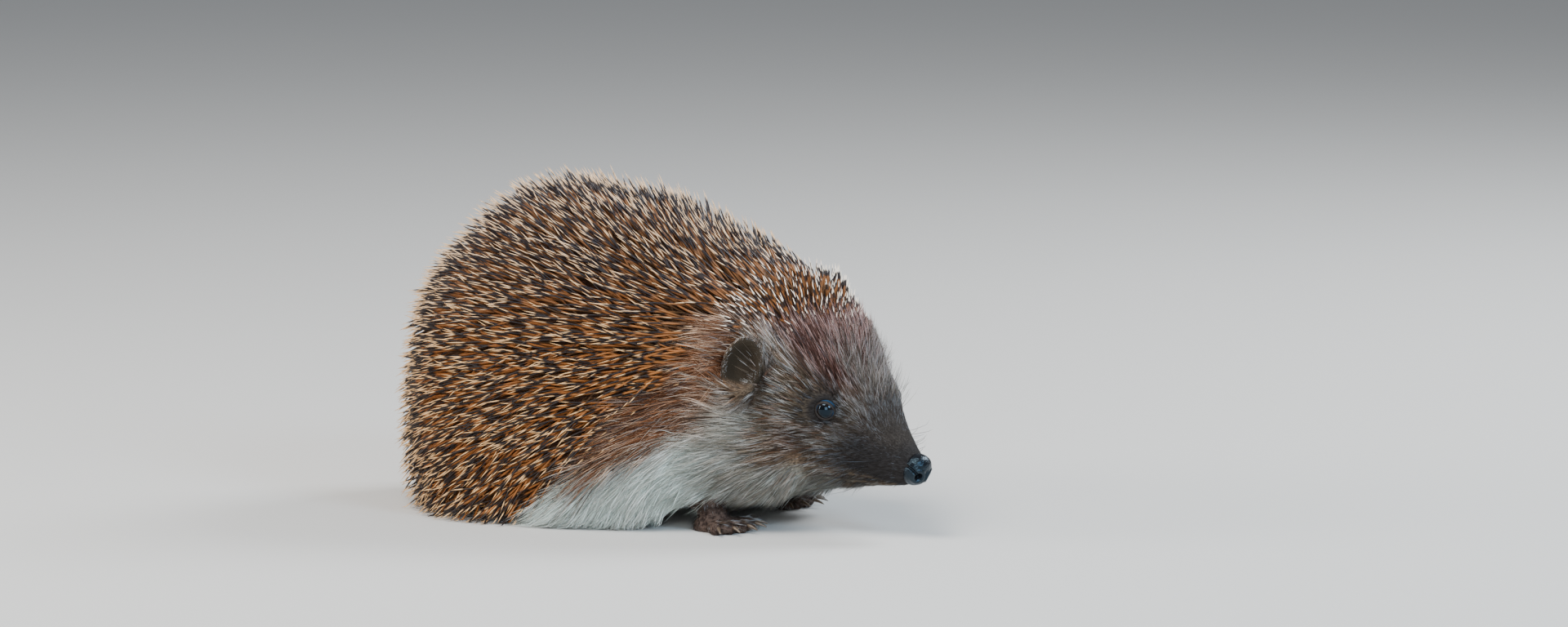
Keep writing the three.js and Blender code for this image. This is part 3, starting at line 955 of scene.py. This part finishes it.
def grow_fur(
    name, density, count, per_tuft, seed, strand, widths, spread, draw, lengths=hair_length,
    way=lie_of_coat, wild=0.15, wisp=0.5, lift=None, lift_cap=0.55, marks=markings_and_shade,
):
    """A piece of coat: tufts of hairs that share a patch of the map and draw together at their points."""
    rng = np.random.default_rng(seed)
    roots, normals, places = scatter(density, count, rng)
    room = room_over(roots, normals)
    outer = roots + normals * room[:, None]
    long = lengths(outer) * rng.uniform(0.8, 1.15, count) * MM
    lifts = np.arcsin(np.clip(room / long * rng.uniform(0.75, 1.15, count), 0.12, lift_cap))
    if lift is not None:
        lifts = np.full(count, lift)
    wisps = np.array([noise.noise_vector(Vector(root) * WISP_SCALE) for root in roots])
    yaws = wisps[:, 0] * wisp + rng.normal(0, wild, count)
    lifts = lifts * (1 + 0.4 * wisps[:, 1])
    lifts *= 1 - 0.6 * near_pair(in_head(roots), EAR_AT, 17)
    lies = way(roots, normals)
    first = leaning(lies, normals, np.minimum(lifts * 1.45, STEEPEST), yaws)
    last = leaning(lies, normals, lifts * 0.55, yaws + wisps[:, 2] * 0.4 * wisp)
    aside = np.cross(normals, lies)
    each = np.repeat(np.arange(count), per_tuft)
    total = len(each)
    shares = rng.normal(0, 1, (total, 2))
    offsets = (lies[each] * shares[:, :1] + aside[each] * shares[:, 1:]) * spread
    hair_long = long[each] * rng.uniform(0.72, 1.0, total)
    drawn = -offsets * draw / hair_long[:, None]
    jitter = rng.normal(0, HAIR_JITTER, (total, 3))
    patches = free_patches(places)
    shown = marks(outer)
    fleck = rng.random(count)
    on_brown = 1 - 0.75 * shown[:, 0]
    shown[:, 1] = np.maximum(shown[:, 1], RUSTY_HAIR * (fleck < RUSTY_SHARE) * on_brown)
    shown[:, 2] = np.maximum(shown[:, 2], DARK_HAIR * (fleck > 1 - DARK_SHARE) * on_brown)
    return grow(
        name, strand, roots[each] + offsets - normals[each] * HAIR_ROOT_DEPTH,
        unit(first[each] + jitter), unit(last[each] + 2 * drawn + jitter), hair_long,
        rng.uniform(*widths, total) * MM, patches[each], shown[each],
        rng.random(count)[each], fur.material,
    )


hide_height = hide_points[:, 2] / MM
furry = (1 - hide_spiny) * (1 - on_ear) * (1 - on_limb) * off_ears(hide_points)
bare = near(hide_head, (-1.5, 0, 0.4), 6.4) > 0.02
bare |= near_pair(hide_head, EYE_AT, 4.3) > 0
bare |= mouth_line(hide_head, 0.7) > 0.6
behind = -hide_head[:, 0]
face_front = furry * fall(behind, 19, 29) * (1 - bare)
face_back = furry * ramp(behind, 17, 27) * fall(behind, 60, 66) * (1 - bare)
flank = furry * (behind >= 52) * ramp(behind, 50, 60) * ramp(hide_height, 3, 8)
needle_hair = strand_model(3, NEEDLE_RINGS)
short_hair = strand_model(3, HAIR_RINGS)
long_hair = strand_model(3, LONG_HAIR_RINGS)
grow_fur("fur_muzzle", face_front, 9000, 4, 21, needle_hair, (0.12, 0.2), 0.35 * MM, 0.4)
for name, seed in (("fur_cheeks", 22), ("fur_cheeks_under", 23)):
    grow_fur(name, face_back, 6400, 3, seed, short_hair, (0.12, 0.22), 0.4 * MM, 0.5, wisp=0.4)
for name, seed in (("fur_flanks", 24), ("fur_flanks_under", 25)):
    grow_fur(name, flank, 4000, 3, seed, long_hair, (0.17, 0.30), 0.7 * MM, 0.8, wisp=0.45)


def one_way(direction):
    """A lie of the coat that points the same way everywhere."""
    return lambda points, normals: laid_flat(np.tile(direction, (len(points), 1)), normals)


def one_length(length):
    return lambda outer: np.full(len(outer), float(length))


def one_marking(*shares):
    return lambda outer: np.tile(shares, (len(outer), 1))


UP_THE_EAR = HEAD_AXES[:, 2]
DOWN_THE_LEG = unit(np.array([0.45, 0, -1.0]))


# Hairs on the ear are darker inside, painted shade in its cup, and paler on its rim.
def ear_marks_and_cup_shade(outer):
    rim = rim_of_ear(outer)[:, None]
    return (1 - rim) * [0, 0.25, 0.66, 0] + rim * [0, 0.3, 0.1, 0]


grow_fur(
    "fur_ears", on_ear, 5600, 1, 26, short_hair, (0.10, 0.17), 0, 0,
    lambda outer: 1.9 + 0.7 * rim_of_ear(outer), one_way(UP_THE_EAR), lift=0.3,
    marks=ear_marks_and_cup_shade,
)
grow_fur(
    "fur_limbs", on_limb * ramp(hide_height, 1, 3), 2600, 3, 27, short_hair, (0.14, 0.22), 0.3 * MM, 0.3,
    lambda outer: 1.6 + 3.5 * ramp(outer[:, 2] / MM, 5, 12), one_way(DOWN_THE_LEG),
    lift=0.25, marks=one_marking(0, 0.2, 0.6, 0),
)

# Bristles stand over the brow, half way from hair to spine, and a fuzz of long hair round it.
by_eye = near_pair(hide_head, EYE_AT, 13)
brow = furry * ramp(hide_head[:, 2], 6, 12) * ramp(behind, 20, 32) * fall(by_eye, 0, 0.15)
grow_fur(
    "brow_bristles", brow, 4200, 1, 28, long_hair, (0.22, 0.36), 0, 0,
    one_length(13.5), wild=0.09, wisp=0.25, lift_cap=0.85,
)
fuzz = furry * ramp(hide_head[:, 2], 4, 8) * ramp(behind, 17, 26) * fall(behind, 46, 54)
fuzz *= fall(np.abs(hide_head[:, 1]), 6, 13) * fall(by_eye, 0, 0.15)
grow_fur(
    "brow_fuzz", fuzz, 1000, 1, 29, long_hair, (0.07, 0.11), 0, 0,
    one_length(10.5), wild=0.35, wisp=0.5, lift=0.95,
    marks=one_marking(0.1, 0, 0.25, 0.5),
)

# Hairs from in front of each ear rise over its front edge and lie back across it.
ear_front = np.zeros(len(hide_points))
for name in SIDES:
    beside = out_of_ear(in_ear(hide_points, name))
    ahead_of_ear = hide_head[:, 0] > EAR_AT[name][0] + 1
    ear_front = np.maximum(ear_front, ramp(beside, 1.0, 1.15) * fall(beside, 1.7, 2.1) * ahead_of_ear)
ear_front *= (1 - hide_spiny) * (1 - on_ear)
grow_fur(
    "fur_ear_fronts", ear_front, 460, 3, 32, short_hair, (0.10, 0.18), 0.3 * MM, 0.5,
    one_length(8.5), wild=0.2, wisp=0.4, lift=0.62,
    marks=lambda outer: np.maximum(markings_and_shade(outer), [0, 0.1, 0.45, 0]),
)

# Long white hairs trail from the shoulder and the flank over the edge of the spines.
trail = furry * ramp(behind, 56, 66) * ramp(hide_height, 8, 14) * fall(behind, 130, 150)
grow_fur(
    "flank_wisps", trail, 1300, 1, 30, long_hair, (0.11, 0.19), 0, 0,
    one_length(20), wild=0.22, wisp=0.5, lift=0.40,
    marks=lambda outer: np.maximum(0.75 * markings_and_shade(outer), [0.22, 0.4, 0, 0]),
)

# Whiskers spring from the sides of the muzzle in rows, long, thin and nearly black.
whisker_bed = furry * ramp(behind, 8, 11) * fall(behind, 19, 22)
whisker_bed *= fall(np.abs(hide_head[:, 2] + 2), 3, 4) * ramp(np.abs(hide_head[:, 1]), 3, 5)
grow_fur(
    "whiskers", whisker_bed, 44, 1, 31, long_hair, (0.12, 0.17), 0, 0,
    lambda outer: 9.0 + 0.8 * -in_head(outer)[:, 0], wild=0.3, wisp=0.2, lift=0.85,
    marks=one_marking(0, 0, 1, 0),
)


# ---- Eyes ----
# Each eye is a dark glossy ball with a brown iris round a wide pupil, and a painted bluish
# reflection round its edge. Dark, bare lids rim it; they are part of the skin, and are shaped from
# a ring that hugs the ball. The upper lid is thicker, and both draw out to a point at the corners.
LID = {"across": 2.75, "high": 2.55, "thick": 0.5, "off": 0.1, "brow": 0.35, "corner": 0.35, "fall": 0.35}
RING_RADIUS = 0.25
EYE_UP = 0.08


def eye_axes(side):
    """The way an eye looks, the way back along its lids, and up."""
    facing = unit(np.array([math.cos(EYE_TURN), side * math.sin(EYE_TURN), EYE_UP]))
    behind_eye = unit(np.cross([0, 0, 1.0], facing)) * -side
    return facing, behind_eye, np.cross(facing, behind_eye) * side


eye_finish = Finish("eye_gloss", roughness=0.03, ior=1.42, specular_tint=(0.45, 0.72, 1, 1))
looking = eye_finish.stored("looking")
# The bluish colour round the edge of each ball is a painted reflection, a painted sheen.
PAINTED_SHEEN = colour(0.016, 0.045, 0.090)
IRIS = colour(0.010, 0.006, 0.004)
PUPIL = colour(0.002, 0.002, 0.002)
middle_of_eye = eye_finish.blend(looking.rise(0.78, 0.88), IRIS, PUPIL)
eye_finish.feed("Base Color", eye_finish.blend(looking.rise(0.52, 0.70), PAINTED_SHEEN, middle_of_eye))
lid_finish = Finish("lid_skin", roughness=0.42, specular_ior_level=0.3)
lid_grain = lid_finish.grain(lid_finish.places(), 3200, 2)
lid_colour = lid_finish.blend(lid_grain, colour(0.008, 0.006, 0.005), colour(0.02, 0.014, 0.012))
lid_finish.feed("Base Color", lid_colour)
lid_finish.feed("Normal", lid_finish.bump(lid_grain, 0.15 * MM))
for name, side in SIDES.items():
    facing, behind_eye, above = eye_axes(side)
    ball = ellipsoid(f"eyeball_{name}", EYE_AT[name], (EYE_RADIUS,) * 3, segments=48, rings=32)
    smooth(ball)
    mark(ball, "looking", "FLOAT", unit(in_head(read(ball)) - EYE_AT[name]) @ facing)
    ball.data.materials.append(eye_finish.material)
    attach(ball, "root")
    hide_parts(f"eye_{name}")

    bpy.ops.object.select_all(action="DESELECT")
    bpy.ops.mesh.primitive_torus_add(
        major_segments=72, minor_segments=16, major_radius=1, minor_radius=RING_RADIUS
    )
    lids = bpy.context.object
    lids.name = f"lids_{name}"
    ring = read(lids)
    turn = np.arctan2(ring[:, 1], ring[:, 0])
    out = (np.hypot(ring[:, 0], ring[:, 1]) - 1) / RING_RADIUS
    high = ring[:, 2] / RING_RADIUS
    thick = LID["thick"] * (1 + LID["brow"] * ramp(np.sin(turn), 0, 1))
    rim = np.hypot(LID["across"] * np.cos(turn), LID["high"] * np.sin(turn))
    rim = rim + LID["corner"] * np.abs(np.cos(turn)) ** 6 + thick * (0.55 + out * 0.8)
    lean = np.arcsin(np.clip(rim / (EYE_RADIUS + 0.4), 0, 0.99))
    reach = EYE_RADIUS + LID["off"] + thick * 0.5 * high - LID["fall"] * (out > 0) * out
    level = np.cos(turn)[:, None] * behind_eye + np.sin(turn)[:, None] * above
    places = reach[:, None] * (np.cos(lean)[:, None] * facing + np.sin(lean)[:, None] * level)
    move_points(lids, from_head(places + EYE_AT[name]))
    edit_all(lids, bpy.ops.mesh.normals_make_consistent, inside=False)
    smooth(lids)
    lids.data.materials.append(lid_finish.material)
    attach(lids, "root")


# ---- Nose ----
# The nose pad is bare, black and wet, and pebbled all over. A groove runs up its middle from the
# lip, and each nostril is a comma whose tail curls back round the side.
NOSE_RADII = np.array([4.0, 4.7, 4.9])
GROOVE = {"deep": 0.55, "half_width": 0.32}
NOSTRIL = {"aside": 2.35, "up": -0.5, "radius": 1.15, "deep": 2.0}
NOSTRIL_RIM = {"high": 0.32, "radius": 1.65, "half_width": 0.42}
NOSTRIL_TAIL = {"deep": 0.8, "start": 2.6, "long": 2.0, "rise": 1.5, "half_width": 0.42}
NOSE_BROW = 0.25
pad = ellipsoid("nose_pad", NOSE_AT, NOSE_RADII, segments=144, rings=96)
smooth(pad)
places = in_head(read(pad)) - NOSE_AT
outward = unit(places / NOSE_RADII**2)
ahead, aside, up = places.T
wide = np.abs(aside)
front = ramp(ahead, -0.5, 2.0)
push = -GROOVE["deep"] * np.exp(-((aside / GROOVE["half_width"]) ** 2)) * front * ramp(-up, -2.4, -0.6)
from_hole = np.hypot((wide - NOSTRIL["aside"]) * 1.05, (up - NOSTRIL["up"]) * 0.85)
push -= NOSTRIL["deep"] * fall(from_hole / NOSTRIL["radius"], 0.35, 1.1) * front
from_rim = (from_hole - NOSTRIL_RIM["radius"]) / NOSTRIL_RIM["half_width"]
push += NOSTRIL_RIM["high"] * np.exp(-(from_rim**2)) * front
tail_share = np.clip((wide - NOSTRIL_TAIL["start"]) / NOSTRIL_TAIL["long"], 0, 1)
from_tail = (up - (NOSTRIL["up"] + 0.5 + NOSTRIL_TAIL["rise"] * tail_share)) / NOSTRIL_TAIL["half_width"]
push -= NOSTRIL_TAIL["deep"] * np.exp(-(from_tail**2)) * ramp(wide, 2.4, 3.1) * ramp(ahead, -2.6, -0.8)
push += NOSE_BROW * ramp(up, 1.2, 3.4) * front
move_points(pad, from_head(places + outward * push[:, None] + NOSE_AT))
wet = Finish("wet_nose", roughness=0.3, specular_ior_level=0.45, specular_tint=(0.45, 0.75, 1, 1))
pebbles = wet.node("ShaderNodeTexVoronoi", {}, {"Vector": wet.places(), "Scale": 2300})
wet_mottle = wet.grain(wet.places(), 900, 2)
wet.feed("Base Color", wet.blend(wet_mottle, colour(0.002, 0.002, 0.0025), colour(0.007, 0.006, 0.007)))
wet.feed("Roughness", wet_mottle * 0.18 + 0.13)
wet.feed("Normal", wet.bump(1 - pebbles, 0.12 * MM, 0.7))
pad.data.materials.append(wet.material)
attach(pad, "root")
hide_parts("nose")


# ---- Claws ----
# Five horn claws on each paw, smoothed copies of the solids, streaked dark brown and paler brown.
claw_horn = Finish("claw_horn", roughness=0.35, coat_weight=0.3, coat_roughness=0.2)
claw_streaks = claw_horn.grain(claw_horn.places(stretch=(0.2, 1, 1)), 3000, 2)
claw_colour = claw_horn.blend(claw_streaks, colour(0.035, 0.022, 0.014), colour(0.16, 0.11, 0.07))
claw_horn.feed("Base Color", claw_colour)
claw_horn.feed("Normal", claw_horn.bump(claw_streaks, 0.1 * MM, 0.6))
for pair in PAIRS:
    for name in SIDES:
        for toe in range(1, 6):
            node = f"{pair}_claw_{name}_{toe}"
            claw = welded_copy(f"smooth_{node}", [node])
            apply_modifier(claw, "SUBSURF", levels=2, render_levels=2)
            smooth(claw)
            claw.data.materials.append(claw_horn.material)
            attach(claw, "root")
            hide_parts(node)


# ---- Stage ----
# A wide, matt floor of warm grey paint, a long lens a little above the animal's own height, and
# five soft lights in a dim, cool room: the bluish one to the right is what the wet eye and nose
# catch.
bpy.ops.object.select_all(action="DESELECT")
bpy.ops.mesh.primitive_plane_add(size=8)
floor = bpy.context.object
floor.name = "floor"
floor_finish = Finish("floor_paint", roughness=0.9)
floor_finish.feed("Base Color", colour(0.62, 0.61, 0.59))
floor.data.materials.append(floor_finish.material)

AZIMUTH = math.radians(30)
ELEVATION = math.radians(7)
DISTANCE = 1.710
TARGET = Vector((0.05057, -0.02449, 0.0655))
LIT_PLACE = Vector((0, 0, 0.05))
level = math.cos(ELEVATION)
back = Vector((math.sin(AZIMUTH) * level, -math.cos(AZIMUTH) * level, math.sin(ELEVATION)))
turned_back = back.to_track_quat("Z", "Y").to_euler()
bpy.ops.object.camera_add(location=TARGET + back * DISTANCE, rotation=turned_back)
camera = bpy.context.object
camera.data.lens = 135
camera.data.sensor_width = 36
bpy.context.scene.camera = camera


def soft_light(name, place, size, power, tint):
    bpy.ops.object.light_add(type="AREA", location=place)
    light = bpy.context.object
    light.name = name
    light.data.size = size
    light.data.energy = power
    light.data.color = tint
    light.rotation_euler = (Vector(place) - LIT_PLACE).to_track_quat("Z", "Y").to_euler()


soft_light("key", (-0.1, -0.55, 1.1), 0.6, 15, (1, 0.96, 0.90))
soft_light("fill", (0.75, -1.35, 0.45), 0.8, 12.5, (0.95, 0.975, 1))
soft_light("side", (-1.1, -0.7, 0.45), 0.6, 11, (1, 0.95, 0.90))
soft_light("rim", (0.5, 0.8, 0.8), 0.5, 15, (0.9, 0.95, 1))
soft_light("catch", (1.15, -0.45, 0.75), 0.4, 11, (0.55, 0.78, 1))
world = bpy.data.worlds.new("studio")
bpy.context.scene.world = world
world.use_nodes = True
backdrop = world.node_tree.nodes["Background"].inputs
backdrop[0].default_value = (0.72, 0.77, 0.84, 1)
backdrop[1].default_value = 0.38
